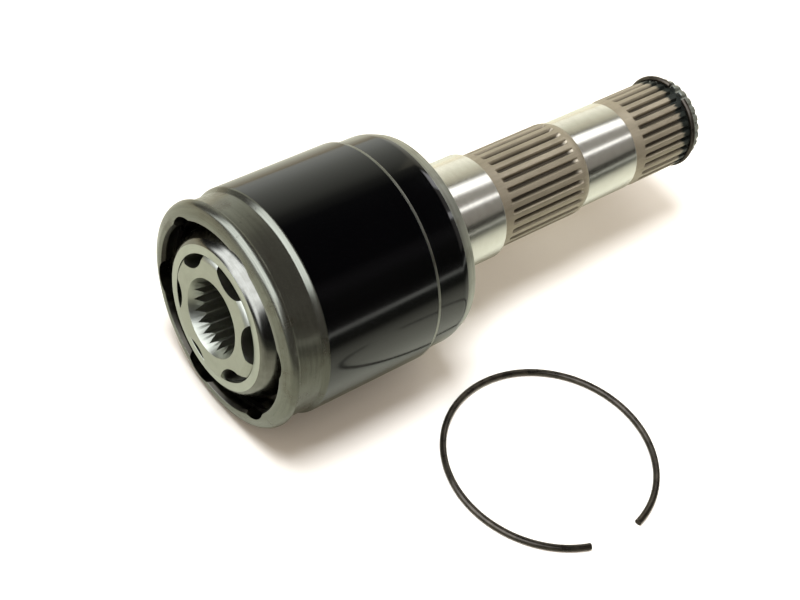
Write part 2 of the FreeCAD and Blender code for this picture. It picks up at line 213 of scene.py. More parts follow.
def spread(tree, value, low, high, out_low=0.0, out_high=1.0):
    """A value remapped from one range to another, held inside it."""
    links = {"Value": value, "From Min": low, "From Max": high, "To Min": out_low, "To Max": out_high}
    return add(tree, "ShaderNodeMapRange", links, clamp=True).outputs[0]


def object_place(tree):
    """The place on the piece as three sockets, in metres along X, Y and Z."""
    place = add(tree, "ShaderNodeTexCoord").outputs["Object"]
    return add(tree, "ShaderNodeSeparateXYZ", {0: place}).outputs


def off_axis(tree, across, up):
    """The way out from the joint's axis, as a vector socket."""
    return add(tree, "ShaderNodeCombineXYZ", {1: across, 2: up}).outputs[0]


def axis_radius(tree, flat):
    """The distance from the joint's axis, in metres."""
    return add(tree, "ShaderNodeVectorMath", {0: flat}, operation="LENGTH").outputs["Value"]


def combine(tree, operation, first, second=0.0):
    """One sum on two numbers or sockets."""
    return add(tree, "ShaderNodeMath", {0: first, 1: second}, operation=operation).outputs[0]


def turning_noise(tree, across, around, detail=3.0):
    """Noise drawn out into fine rings about the joint's axis, as a lathe leaves them.

    across is rings per metre, along the axis and outwards; around is how soon a ring breaks up.
    """
    x, y, z = object_place(tree)
    flat = off_axis(tree, y, z)
    facing = add(tree, "ShaderNodeVectorMath", {0: flat}, operation="NORMALIZE")
    spun = add(tree, "ShaderNodeVectorMath", {0: facing.outputs[0], 3: around}, operation="SCALE")
    shift = add(tree, "ShaderNodeCombineXYZ", {0: combine(tree, "MULTIPLY", x, across)})
    where = add(tree, "ShaderNodeVectorMath", {0: spun.outputs[0], 1: shift.outputs[0]}, operation="ADD")
    out = combine(tree, "MULTIPLY", axis_radius(tree, flat), across)
    links = {"Vector": where.outputs[0], "W": out, "Scale": 1.0, "Detail": detail}
    return add(tree, "ShaderNodeTexNoise", links, noise_dimensions="4D").outputs["Fac"]


def patch_noise(tree, per_metre, detail=4.0, stretch=(1.0, 1.0, 1.0), roughness=0.55):
    """Cloudy noise on Object coordinates, with about this many patches to the metre."""
    place = add(tree, "ShaderNodeTexCoord").outputs["Object"]
    mapped = add(tree, "ShaderNodeMapping", {"Vector": place, "Scale": stretch})
    links = {"Vector": mapped.outputs[0], "Scale": per_metre, "Detail": detail, "Roughness": roughness}
    return add(tree, "ShaderNodeTexNoise", links).outputs["Fac"]


def bump(tree, height, depth_mm, strength=1.0):
    """A bump of a real depth from a height between 0 and 1."""
    links = {"Height": height, "Distance": depth_mm * MM, "Strength": strength}
    return add(tree, "ShaderNodeBump", links).outputs[0]


def turned_steel():
    """Forged steel, turned on a lathe and lightly oxidised: fine rings, a green-brown cast, soft stains
    and dark specks, and painted shade that darkens the lower side of the boot's seat."""
    material, tree = new_material("turned_forged_steel")
    rings = turning_noise(tree, 2600.0, 2.5)
    stains = patch_noise(tree, 120.0)
    specks = patch_noise(tree, 900.0, 2.0)
    tone = blend_colours(tree, spread(tree, rings, 0.35, 0.65), "66675e", "74756b")
    worn = blend_colours(tree, spread(tree, stains, 0.52, 0.72, 0.0, 0.6), tone, "544f43")
    dirt_and_low_shade = blend_colours(tree, spread(tree, specks, 0.66, 0.74, 0.0, 0.45), worn, "2f2b26")
    x, y, z = object_place(tree)
    # Painted shade: the boot's seat darkens towards its lower side, from 12 mm above the axis down to 26 mm
    # below it, from 4 mm along the axis on
    low = spread(tree, z, SEAT_SHADE_LOW_Z * MM, SEAT_SHADE_HIGH_Z * MM, 0.8, 0.0)
    on_seat = spread(tree, x, SEAT_SHADE_START_X * MM, SEAT_SHADE_FULL_X * MM)
    dirt_and_low_shade = blend_colours(tree, combine(tree, "MULTIPLY", low, on_seat), dirt_and_low_shade, "33302a")
    rough = spread(tree, stains, 0.3, 0.7, 0.2, 0.29)
    normal = bump(tree, rings, 0.005, 0.35)
    links = {"Base Color": dirt_and_low_shade, "Metallic": 0.87, "Roughness": rough, "Normal": normal}
    finish_material(tree, add(tree, "ShaderNodeBsdfPrincipled", links))
    return material


def black_paint():
    """Gloss black stove enamel: near-black, a clear wet shine, faint orange peel and dust."""
    material, tree = new_material("gloss_black_enamel")
    peel = patch_noise(tree, 420.0, 2.0)
    dust = patch_noise(tree, 2400.0, 2.0)
    tone = blend_colours(tree, spread(tree, dust, 0.7, 0.78, 0.0, 0.25), "020203", "2c2c29")
    haze = patch_noise(tree, 45.0, 3.0)
    rough = spread(tree, haze, 0.3, 0.7, 0.1, 0.14)
    normal = bump(tree, peel, 0.008, 0.15)
    links = {"Base Color": tone, "Roughness": rough, "IOR": 1.7, "Normal": normal}
    finish_material(tree, add(tree, "ShaderNodeBsdfPrincipled", links))
    return material


def taper_steel():
    """Steel faced behind the paint: paler and duller than the rim, with open turning rings."""
    material, tree = new_material("faced_pale_steel")
    rings = turning_noise(tree, 1500.0, 1.5)
    stains = patch_noise(tree, 160.0)
    tone = blend_colours(tree, spread(tree, rings, 0.35, 0.65), "8f9088", "a9aaa2")
    worn = blend_colours(tree, spread(tree, stains, 0.5, 0.75, 0.0, 0.7), tone, "77756a")
    normal = bump(tree, rings, 0.015, 0.7)
    links = {"Base Color": worn, "Metallic": 1.0, "Roughness": 0.42, "Normal": normal}
    finish_material(tree, add(tree, "ShaderNodeBsdfPrincipled", links))
    return material


def ground_steel(name, pale, dark, roughness, ring_depth, clouds=1.0):
    """Hardened steel ground on centres: bright, with hair-fine rings and a faint mottle."""
    material, tree = new_material(name)
    rings = turning_noise(tree, 5200.0, 4.0, 2.0)
    mottle = patch_noise(tree, 260.0, 5.0)
    tone = blend_colours(tree, spread(tree, mottle, 0.4, 0.75, 0.0, clouds), pale, dark)
    fine = blend_colours(tree, spread(tree, rings, 0.35, 0.65, 0.0, 0.3), tone, dark)
    rough = spread(tree, mottle, 0.3, 0.7, roughness * (1 - 0.15 * clouds), roughness * (1 + 0.2 * clouds))
    normal = bump(tree, rings, ring_depth, 0.5)
    links = {"Base Color": fine, "Metallic": 1.0, "Roughness": rough, "Normal": normal}
    finish_material(tree, add(tree, "ShaderNodeBsdfPrincipled", links))
    return material


def phosphate_steel():
    """Rolled splines with a manganese phosphate skin: dull brown-grey, darker in the gaps between the teeth
    by painted shade, and burnt black over the last few millimetres, where the end was induction hardened."""
    material, tree = new_material("phosphated_spline_steel")
    x, y, z = object_place(tree)
    radius = axis_radius(tree, off_axis(tree, y, z))
    streaks = patch_noise(tree, 60.0, 5.0, (1.0, 16.0, 16.0))
    grain = patch_noise(tree, 3000.0, 2.0)
    clouds = patch_noise(tree, 140.0)
    tone = blend_colours(tree, spread(tree, streaks, 0.3, 0.7), "8e8675", "a09786")
    tone = blend_colours(tree, spread(tree, clouds, 0.4, 0.75, 0.0, 0.6), tone, "a79e8c")
    second = combine(tree, "GREATER_THAN", x, SPLINE_SPLIT_X * MM)
    tip = spread(tree, second, 0.0, 1.0, SPLINE_1_RADIUS * MM, SPLINE_2_RADIUS * MM)
    # Painted shade: the gaps between the teeth darken with their depth below the tooth tips
    depth = combine(tree, "SUBTRACT", tip, radius)
    gap = spread(tree, depth, GAP_SHADE_START * MM, GAP_SHADE_FULL * MM, 0.0, 0.85)
    tone = blend_colours(tree, gap, tone, "2c261f")
    ragged = combine(tree, "ADD", x, combine(tree, "MULTIPLY", streaks, BURNT_RAGGED * MM))
    burnt = spread(tree, ragged, BURNT_START_X * MM, BURNT_FULL_X * MM)
    tone = blend_colours(tree, burnt, tone, "2b2f2c")
    flange = spread(tree, x, (CLIP_GROOVE[1] - 0.1) * MM, (CLIP_GROOVE[1] + 0.2) * MM)
    tone = blend_colours(tree, flange, tone, "7d8079")
    rough = spread(tree, grain, 0.3, 0.7, 0.38, 0.55)
    normal = bump(tree, grain, 0.02, 0.5)
    links = {"Base Color": tone, "Metallic": 0.75, "Roughness": rough, "Normal": normal}
    finish_material(tree, add(tree, "ShaderNodeBsdfPrincipled", links))
    return material


def bore_steel():
    """The bell's hardened bore: dark, oily and ground only where the balls run."""
    material, tree = new_material("oiled_bore_steel")
    clouds = patch_noise(tree, 180.0)
    tone = blend_colours(tree, spread(tree, clouds, 0.35, 0.7), "2b2824", "423f38")
    rough = spread(tree, clouds, 0.3, 0.7, 0.24, 0.4)
    normal = bump(tree, turning_noise(tree, 1800.0, 3.0), 0.01, 0.5)
    links = {"Base Color": tone, "Metallic": 1.0, "Roughness": rough, "Normal": normal}
    finish_material(tree, add(tree, "ShaderNodeBsdfPrincipled", links))
    return material


def spring_steel():
    """Oil-tempered spring wire: black-brown with a waxy shine and fine die lines."""
    material, tree = new_material("oil_tempered_wire")
    clouds = patch_noise(tree, 300.0, 4.0)
    tone = blend_colours(tree, spread(tree, clouds, 0.35, 0.7), "35312c", "524c44")
    rough = spread(tree, clouds, 0.3, 0.7, 0.24, 0.36)
    normal = bump(tree, patch_noise(tree, 2500.0, 2.0), 0.01, 0.5)
    links = {"Base Color": tone, "Metallic": 0.85, "Roughness": rough, "Normal": normal}
    finish_material(tree, add(tree, "ShaderNodeBsdfPrincipled", links))
    return material


def ball_steel():
    """Chrome bearing steel, lapped to a mirror and filmed with oil."""
    material, tree = new_material("lapped_ball_steel")
    film = patch_noise(tree, 220.0, 3.0)
    tone = blend_colours(tree, spread(tree, film, 0.3, 0.7), "b9b7b2", "d6d4cf")
    rough = spread(tree, film, 0.3, 0.7, 0.05, 0.12)
    links = {"Base Color": tone, "Metallic": 1.0, "Roughness": rough}
    finish_material(tree, add(tree, "ShaderNodeBsdfPrincipled", links))
    return material


def turned(outline, steps=AROUND):
    """A bmesh turned about the X axis from a closed (x, r, rounding) outline in millimetres."""
    mesh = bmesh.new()
    corners = [mesh.verts.new((corner[0] * MM, 0, corner[1] * MM)) for corner in outline]
    edges = [mesh.edges.new((corners[index - 1], corners[index])) for index in range(len(corners))]
    if outline[0][1] == 0 and outline[-1][1] == 0:
        mesh.edges.remove(edges.pop(0))
    bmesh.ops.spin(mesh, geom=corners + edges, axis=(1, 0, 0), cent=(0, 0, 0), angle=math.tau,
                   steps=steps, use_merge=True)
    bmesh.ops.remove_doubles(mesh, verts=mesh.verts, dist=MERGE)
    for corner in outline:
        if len(corner) == 3:
            round_ring(mesh, *corner)
    bmesh.ops.recalc_face_normals(mesh, faces=mesh.faces)
    return mesh


def round_ring(mesh, x, radius, rounding):
    """Rounds the ring of edges at one place of a turned shape."""
    def on_ring(vertex):
        off = math.hypot(vertex.co.y, vertex.co.z) - radius * MM
        return abs(vertex.co.x - x * MM) < NEAR and abs(off) < NEAR
    ring = [edge for edge in mesh.edges if all(on_ring(vertex) for vertex in edge.verts)]
    segments = 3 if rounding < 1.0 else 8
    bmesh.ops.bevel(mesh, geom=ring, offset=rounding * MM, offset_type="OFFSET", affect="EDGES",
                    segments=segments, profile=0.5, material=-1, clamp_overlap=True)


def splined(stations, teeth, gap_top, gap_root, first_gap, radius):
    """A bmesh of splined bar from (x, tip radius, root radius) stations in millimetres.

    One tooth from gap centre to gap centre is drawn out along the axis, then spun round it.
    """
    pitch = math.tau / teeth
    top = gap_top / 2 / radius
    root = gap_root / 2 / radius
    half_points = [(0.0, 0.0), (root * 0.75, 0.0), (root * 1.05, 0.06), (root + (top - root) * 0.5, 0.5),
                   (top * 0.93, 0.9), (top * 1.06, 0.985), (top * 1.25, 1.0), (pitch / 2, 1.0)]
    points = half_points + [(pitch - angle, share) for angle, share in reversed(half_points[:-1])]
    start = math.radians(first_gap)

    def place(station, point):
        x, tip, low = station
        reach = (low + (tip - low) * point[1]) * MM
        turn = start - point[0]
        return Vector((x * MM, reach * math.cos(turn), reach * math.sin(turn)))

    mesh = bmesh.new()
    row = [mesh.verts.new(place(stations[0], point)) for point in points]
    edges = [mesh.edges.new(pair) for pair in zip(row, row[1:])]
    for station in stations[1:]:
        made = bmesh.ops.extrude_edge_only(mesh, edges=edges)["geom"]
        edges = [item for item in made if isinstance(item, bmesh.types.BMEdge)
                 and all(vertex in made for vertex in item.verts) and item.is_boundary]
        fresh = [item for item in made if isinstance(item, bmesh.types.BMVert)]
        fresh.sort(key=lambda vertex: -math.atan2(vertex.co.z, vertex.co.y))
        for vertex, point in zip(fresh, points):
            vertex.co = place(station, point)
        edges = [edge for edge in edges if all(vertex in fresh for vertex in edge.verts)]
    bmesh.ops.spin(mesh, geom=mesh.verts[:] + mesh.edges[:] + mesh.faces[:], axis=(1, 0, 0),
                   cent=(0, 0, 0), angle=math.tau * (teeth - 1) / teeth, steps=teeth - 1, use_duplicate=True)
    bmesh.ops.remove_doubles(mesh, verts=mesh.verts, dist=2 * MERGE)
    bmesh.ops.recalc_face_normals(mesh, faces=mesh.faces)
    return mesh


def to_object(mesh, name, materials):
    """An object at the origin from a bmesh, with its materials."""
    data = bpy.data.meshes.new(name)
    mesh.to_mesh(data)
    mesh.free()
    made = bpy.data.objects.new(name, data)
    bpy.context.scene.collection.objects.link(made)
    for material in materials:
        data.materials.append(material)
    return made


def cut(piece, cutter_mesh):
    """Takes a cutter's space out of a piece, and deletes the cutter."""
    cutter = to_object(cutter_mesh, piece.name + "_cutter", [])
    step = piece.modifiers.new("cut", "BOOLEAN")
    step.operation = "DIFFERENCE"
    step.solver = "EXACT"
    step.object = cutter
    bake_modifiers(piece)
    bpy.data.objects.remove(cutter)


def bake_modifiers(piece):
    """Writes the piece's modifiers into its mesh."""
    graph = bpy.context.evaluated_depsgraph_get()
    old = piece.data
    materials = list(old.materials)
    piece.data = bpy.data.meshes.new_from_object(piece.evaluated_get(graph))
    piece.modifiers.clear()
    piece.data.name = piece.name
    piece.data.materials.clear()
    for material in materials:
        piece.data.materials.append(material)
    bpy.data.meshes.remove(old)


def smooth(piece, angle=28.0):
    """Smooth shading that keeps edges sharper than an angle."""
    piece.data.polygons.foreach_set("use_smooth", [True] * len(piece.data.polygons))
    piece.data.set_sharp_from_angle(angle=math.radians(angle))


def paint_zones(piece, zone_of):
    """Gives each face the material that its place calls for."""
    for face in piece.data.polygons:
        centre = face.center
        face.material_index = zone_of(centre.x / MM, math.hypot(centre.y, centre.z) / MM, face.normal)


def bars(radius, start_x, end_x, offset, angles, steps):
    """Round bars parallel to the axis, one at each angle, in one bmesh."""
    mesh = bmesh.new()
    for angle in angles:
        turn = math.radians(angle)
        centre = Vector(((start_x + end_x) / 2, offset * math.cos(turn), offset * math.sin(turn))) * MM
        place = Matrix.Translation(centre) @ Matrix.Rotation(math.pi / 2, 4, "Y")
        bmesh.ops.create_cone(mesh, cap_ends=True, segments=steps, radius1=radius * MM, radius2=radius * MM,
                              depth=(end_x - start_x) * MM, matrix=place)
    return mesh


def sphere_arc(centre_x, radius, start_x, end_x, count):
    """Outline corners along a sphere's meridian between two places on the axis."""
    places = [start_x + (end_x - start_x) * index / (count - 1) for index in range(count)]
    return [(x, math.sqrt(radius ** 2 - (x - centre_x) ** 2)) for x in places]


def make_bell(finishes):
    """The bell with journal 1, its bore and its six tracks."""
    groove_end_x = RETAINER_GROOVE_X + RETAINER_GROOVE_WIDTH
    neck = SPLINE_1_RADIUS - NECK_FALL
    outline = [
        (MOUTH_FACE_X, MOUTH_CHAMFER_RADIUS, 0.15),
        (MOUTH_FACE_X, RIM_FACE_RADIUS, 0.5),
        (RIM_CONE_END_X, RIM_RADIUS, 1.6),
        (RIM_LENGTH, RIM_RADIUS, 0.4),
        (BOOT_SEAT_START_X, BOOT_SEAT_RADIUS, 0.3),
        (BOOT_SEAT_END_X, BOOT_SEAT_RADIUS, 0.25),
        (BODY_START_X, BODY_RADIUS, 0.5),
        (BODY_END_X - BARE_EDGE, BODY_RADIUS),
        (BODY_END_X, BODY_RADIUS, 0.2),
        (REAR_START_X, REAR_RADIUS),
        (REAR_END_X, REAR_RADIUS, 1.4),
        (TAPER_END[0], TAPER_END[1], 0.7),
        (JOURNAL_1_START_X, JOURNAL_1_RADIUS, 1.3),
        (JOURNAL_1_END_X, JOURNAL_1_RADIUS, 0.15),
        (JOURNAL_1_END_X + JOURNAL_CHAMFER, neck - HIDDEN / 4),
        (JOURNAL_1_END_X + JOURNAL_CHAMFER, 0),
        (FLOOR_CENTRE_X, 0),
        FLOOR_EDGE,
        (BORE_DEPTH, LAND_RADIUS),
        (groove_end_x, LAND_RADIUS),
        (groove_end_x, RETAINER_GROOVE_RADIUS),
        (RETAINER_GROOVE_X, RETAINER_GROOVE_RADIUS),
        (RETAINER_GROOVE_X, LAND_RADIUS),
        (MOUTH_CHAMFER_END_X, LAND_RADIUS, 0.2),
    ]
    solid = turned(outline)
    bell = to_object(solid, "bell", finishes)
    cut(bell, bars(TRACK_RADIUS, -CUT_PAST, BORE_DEPTH, BALL_PITCH_RADIUS, BALL_ANGLES, 96))
    return bell


def spline_front(hidden_x, start_x, radius, neck, root):
    """Stations from the hidden joint with the journal, up the neck and down the first ramp of the gaps."""
    return [
        (hidden_x, 0, 0),
        (hidden_x, neck, neck),
        (start_x - TOOTH_RAMP, neck, neck),
        (start_x - 0.2, radius - 0.02, radius - 0.02),
        (start_x, radius, radius - 0.06),
        (start_x + TOOTH_RAMP * 0.8, radius, root + 0.2),
        (start_x + TOOTH_RAMP * 1.3, radius, root),
    ]


def stub_meshes():
    """The splined and turned lengths of the stub beyond journal 1."""
    neck_1 = SPLINE_1_RADIUS - NECK_FALL
    neck_2 = SPLINE_2_RADIUS - NECK_FALL
    root_1 = SPLINE_1_RADIUS - TOOTH_DEPTH
    root_2 = SPLINE_2_RADIUS - TOOTH_DEPTH
    start = JOURNAL_1_END_X + JOURNAL_CHAMFER - HIDDEN
    first = splined(spline_front(start, SPLINE_1_START_X, SPLINE_1_RADIUS, neck_1, root_1) + [
        (SPLINE_1_END_X - TOOTH_RAMP * 1.3, SPLINE_1_RADIUS, root_1),
        (SPLINE_1_END_X - TOOTH_RAMP * 0.8, SPLINE_1_RADIUS, root_1 + 0.2),
        (SPLINE_1_END_X, SPLINE_1_RADIUS, SPLINE_1_RADIUS - 0.06),
        (SPLINE_1_END_X + 0.5, SPLINE_1_RADIUS, SPLINE_1_RADIUS),
        (SPLINE_1_TAIL_X, SPLINE_1_RADIUS - 0.06, SPLINE_1_RADIUS - 0.06),
        (SPLINE_1_TAIL_X + 0.7, SPLINE_1_RADIUS - 0.2, SPLINE_1_RADIUS - 0.2),
        (JOURNAL_2_START_X, JOURNAL_2_RADIUS - 0.02, JOURNAL_2_RADIUS - 0.02),
        (JOURNAL_2_START_X, 0, 0),
    ], SPLINE_1_TEETH, TOOTH_GAP_TOP, TOOTH_GAP_ROOT, SPLINE_1_FIRST_GAP, SPLINE_1_RADIUS)
    middle = turned([
        (JOURNAL_2_START_X - HIDDEN, 0),
        (JOURNAL_2_START_X - HIDDEN, JOURNAL_2_RADIUS - HIDDEN / 2),
        (JOURNAL_2_START_X, JOURNAL_2_RADIUS, 0.1),
        (JOURNAL_2_END_X, JOURNAL_2_RADIUS, 0.12),
        (JOURNAL_2_END_X + JOURNAL_CHAMFER, neck_2 - HIDDEN / 4),
        (JOURNAL_2_END_X + JOURNAL_CHAMFER, 0),
    ])
    start = JOURNAL_2_END_X + JOURNAL_CHAMFER - HIDDEN
    groove_start, groove_end, groove_radius = CLIP_GROOVE
    hole_radius, drill_x, drill_radius, bottom_x = CENTRE_HOLE
    last = splined(spline_front(start, SPLINE_2_START_X, SPLINE_2_RADIUS, neck_2, root_2) + [
        (groove_start - 0.15, SPLINE_2_RADIUS, root_2),
        (groove_start, SPLINE_2_RADIUS - 0.15, root_2),
        (groove_start, groove_radius, groove_radius),
        (groove_end, groove_radius, groove_radius),
        (groove_end, SPLINE_2_RADIUS - 0.15, root_2),
        (groove_end + 0.15, SPLINE_2_RADIUS, root_2),
        (STUB_CHAMFER_X, SPLINE_2_RADIUS, root_2),
        (STUB_CHAMFER_X + 0.4, SPLINE_2_RADIUS - 0.1, root_2),
        (STUB_END[0] - 0.15, STUB_END[1] + 0.05, root_2),
        (STUB_END[0], STUB_END[1] - 0.15, root_2 - 0.12),
        (STUB_END[0], hole_radius, hole_radius),
        (drill_x, drill_radius, drill_radius),
        (bottom_x, drill_radius, drill_radius),
        (bottom_x, 0, 0),
    ], SPLINE_2_TEETH, TOOTH_GAP_TOP, TOOTH_GAP_ROOT, SPLINE_2_FIRST_GAP, SPLINE_2_RADIUS)
    return first, middle, last


# The six finishes of the outer race, in the order of its material slots
TURNED, PAINT, TAPER, GROUND, PHOSPHATE, BORE = range(6)


def bell_zone(x, radius, normal):
    """The finish of the bell and stub at a place: paint, bare turned steel, ground journals, splines."""
    inside = x < FLOOR_CENTRE_X + 1.0 and radius < RETAINER_GROOVE_RADIUS + 0.22
    if inside and (x > MOUTH_FACE_X + 0.1 or normal.x > -0.3):
        return BORE
    if x < BODY_START_X + 0.1:
        return TURNED
    if BODY_END_X - BARE_EDGE < x < REAR_START_X and radius > REAR_RADIUS:
        return TAPER
    if x < REAR_END_X + 0.4 and radius > JOURNAL_1_RADIUS + 2:
        return PAINT
    if x < JOURNAL_1_START_X + 0.6 and radius > JOURNAL_1_RADIUS + 1.5:
        return TAPER
    on_journal_1 = x < JOURNAL_1_END_X + 0.2
    on_journal_2 = JOURNAL_2_START_X <= x < JOURNAL_2_END_X + 0.2
    return GROUND if on_journal_1 or on_journal_2 else PHOSPHATE


def make_outer_race(finishes):
    """The whole outer race, one forging: bell, journals and splines in one mesh."""
    bell = make_bell(finishes)
    mesh = bmesh.new()
    mesh.from_mesh(bell.data)
    for part in stub_meshes():
        data = bpy.data.meshes.new("stub_length")
        part.to_mesh(data)
        part.free()
        mesh.from_mesh(data)
        bpy.data.meshes.remove(data)
    bpy.data.objects.remove(bell)
    piece = to_object(mesh, "outer_race_forging", finishes)
    paint_zones(piece, bell_zone)
    smooth(piece)
    return piece


def is_tooth(vertex):
    """Whether a corner of the spline's star lies between two of its gaps."""
    turn = math.degrees(math.atan2(vertex.co.z, vertex.co.y)) - RACE_FIRST_GAP
    return round(turn / (180 / RACE_TEETH)) % 2 == 1


def leaned(mesh, *centres):
    """Turns a mesh by the running gear's sag, about the tilt axis through places on the joint's axis."""
    turn = math.radians(TILT_AXIS_ANGLE)
    axis = Vector((0, math.cos(turn), math.sin(turn)))
    for centre_x in centres:
        bmesh.ops.rotate(mesh, verts=mesh.verts, cent=(centre_x * MM, 0, 0),
                         matrix=Matrix.Rotation(math.radians(REST_TILT), 3, axis))


def lean_piece(piece, *centres):
    """Leans a finished piece as the loose running gear lies."""
    mesh = bmesh.new()
    mesh.from_mesh(piece.data)
    leaned(mesh, *centres)
    mesh.to_mesh(piece.data)
    mesh.free()


def make_inner_race(finishes):
    """The inner race: spherical lands, six ball grooves and a V-toothed bore."""
    start_x, end_x = RACE_ENDS
    arc = sphere_arc(RACE_CENTRE_X, RACE_RADIUS, RACE_EDGE_CONE[0] + 0.6, end_x - 0.5, 18)
    rear_radius = math.sqrt(RACE_RADIUS ** 2 - (end_x - RACE_CENTRE_X) ** 2)
    outline = [
        (start_x, RACE_CHAMFER_RADIUS, 0.12),
        (start_x, RACE_FACE_RADIUS, 0.2),
        (RACE_EDGE_CONE[0] - 0.25, RACE_EDGE_CONE[1] - 0.35),
    ] + arc + [
        (end_x, rear_radius - 0.4),
        (end_x, RACE_CHAMFER_RADIUS),
        (end_x - RACE_CHAMFER_DEPTH / 2, RACE_TIP_RADIUS),
        (start_x + RACE_CHAMFER_DEPTH, RACE_TIP_RADIUS),
    ]
    race = to_object(turned(outline, RING_AROUND), "inner_race_ground", finishes)
    star = bmesh.new()
    facing = Matrix.Rotation(math.radians(RACE_FIRST_GAP), 4, "X") @ Matrix.Rotation(math.pi / 2, 4, "Y")
    bmesh.ops.create_circle(star, cap_ends=True, segments=2 * RACE_TEETH, radius=RACE_ROOT_RADIUS * MM,
                            matrix=Matrix.Translation(((start_x - CUT_PAST) * MM, 0, 0)) @ facing)
    tooth = [vertex for vertex in star.verts if is_tooth(vertex)]
    bmesh.ops.scale(star, verts=tooth, vec=Vector((1, RACE_TIP_SHARE, RACE_TIP_SHARE)))
    made = bmesh.ops.extrude_face_region(star, geom=star.faces[:])["geom"]
    far = [item for item in made if isinstance(item, bmesh.types.BMVert)]
    bmesh.ops.translate(star, verts=far, vec=Vector((end_x - start_x + 2 * CUT_PAST, 0, 0)) * MM)
    bmesh.ops.recalc_face_normals(star, faces=star.faces)
    cut(race, star)
    start_x, end_x = start_x - CUT_PAST, end_x + CUT_PAST
    cut(race, bars(TRACK_RADIUS, start_x, end_x, BALL_PITCH_RADIUS, BALL_ANGLES, 72))
    lean_piece(race, RACE_CENTRE_X, CAGE_CENTRE_X)
    smooth(race)
    return race


def make_cage(finishes):
    """The ball cage: polished outside, a flat front ring and six windows."""
    start_x, end_x = CAGE_ENDS
    front = math.sqrt(CAGE_RADIUS ** 2 - (CAGE_CENTRE_X - start_x) ** 2)
    rear = math.sqrt(CAGE_RADIUS ** 2 - (end_x - CAGE_CENTRE_X) ** 2)
    step_x = RACE_CENTRE_X + math.sqrt(CAGE_INNER_RADIUS ** 2 - CAGE_REAR_BORE ** 2)
    inner_front = math.sqrt(CAGE_INNER_RADIUS ** 2 - (RACE_CENTRE_X - start_x) ** 2)
    outline = [
        (start_x, inner_front + 0.15, 0.12),
        (start_x, front - 0.6, 0.2),
    ] + sphere_arc(CAGE_CENTRE_X, CAGE_RADIUS, start_x + 0.75, end_x - 1.0, 32) + [
        (end_x, rear - 1.1),
        (end_x, CAGE_REAR_BORE, 0.2),
    ] + sphere_arc(RACE_CENTRE_X, CAGE_INNER_RADIUS, step_x, start_x + 0.3, 20)
    cage = to_object(turned(outline, RING_AROUND), "ball_cage", finishes)
    windows = bmesh.new()
    for angle in BALL_ANGLES:
        solid = bmesh.new()
        middle = Matrix.Translation(Vector((BALL_PLANE_X, 0, WINDOW_CUT_MIDDLE)) * MM)
        size = Matrix.Diagonal(Vector((WINDOW_LENGTH, WINDOW_WIDTH, WINDOW_CUT_HEIGHT, 1 / MM)) * MM)
        bmesh.ops.create_cube(solid, size=1.0, matrix=middle @ size)
        upright = [edge for edge in solid.edges if abs((edge.verts[0].co - edge.verts[1].co).z) > NEAR]
        bmesh.ops.bevel(solid, geom=upright, offset=WINDOW_CORNER * MM, affect="EDGES", segments=8,
                        profile=0.5, material=-1)
        bmesh.ops.rotate(solid, verts=solid.verts, cent=(0, 0, 0),
                         matrix=Matrix.Rotation(math.radians(angle - 90), 3, "X"))
        data = bpy.data.meshes.new("window")
        solid.to_mesh(data)
        solid.free()
        windows.from_mesh(data)
        bpy.data.meshes.remove(data)
    cut(cage, windows)
    paint_zones(cage, lambda x, radius, normal: 0 if x < 0.2 and normal.x < -0.6 else 1)
    lean_piece(cage, CAGE_CENTRE_X)
    smooth(cage)
    return cage


def dress_cad(node, materials):
    """Gives a CAD node that stays its finish."""
    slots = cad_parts[node].data.materials
    slots.clear()
    for material in materials:
        slots.append(material)


# How far the floor reaches each way, in metres
FLOOR_REACH = 0.75


def make_stage():
    """A plain white floor that keeps the object's shadow, and that steel and paint mirror darker."""
    mesh = bmesh.new()
    bmesh.ops.create_grid(mesh, x_segments=1, y_segments=1, size=FLOOR_REACH,
                          matrix=Matrix.Translation((0, 0, CAD_BOX[0].z)))
    material, tree = new_material("matt_white_paper")
    # Painted reflection: the floor as steel and paint mirror it darkens towards the camera's side and turns
    # khaki far behind; other rays see it near-white
    across = object_place(tree)[1]
    near_side = blend_colours(tree, spread(tree, across, -0.2, -0.03), "20231c", "c6cbc0")
    far_side = blend_colours(tree, spread(tree, across, 0.05, 0.5), near_side, "b9b29c")
    path = add(tree, "ShaderNodeLightPath")
    tone = blend_colours(tree, path.outputs["Is Glossy Ray"], "f4f3f1", far_side)
    links = {"Base Color": tone, "Roughness": 0.9, "Specular IOR Level": 0.2}
    finish_material(tree, add(tree, "ShaderNodeBsdfPrincipled", links))
    floor = to_object(mesh, "studio_floor", [material])


def turn_lamp(lamp, turn):
    """Turns a lamp, which shines along its own -Z."""
    lamp.rotation_mode = "QUATERNION"
    lamp.rotation_quaternion = turn


def area_lamp(name, place, size, power, colour):
    """A soft rectangular lamp."""
    data = bpy.data.lights.new(name, "AREA")
    data.shape = "RECTANGLE"
    data.size, data.size_y = size
    data.energy = power
    data.color = linear(colour)[:3]
    lamp = bpy.data.objects.new(name, data)
    lamp.location = place
    bpy.context.scene.collection.objects.link(lamp)
    return lamp


def reach_along(tree, facing, along):
    """How far a direction socket reaches along a fixed direction."""
    links = {0: facing, 1: along}
    return add(tree, "ShaderNodeVectorMath", links, operation="DOT_PRODUCT").outputs["Value"]


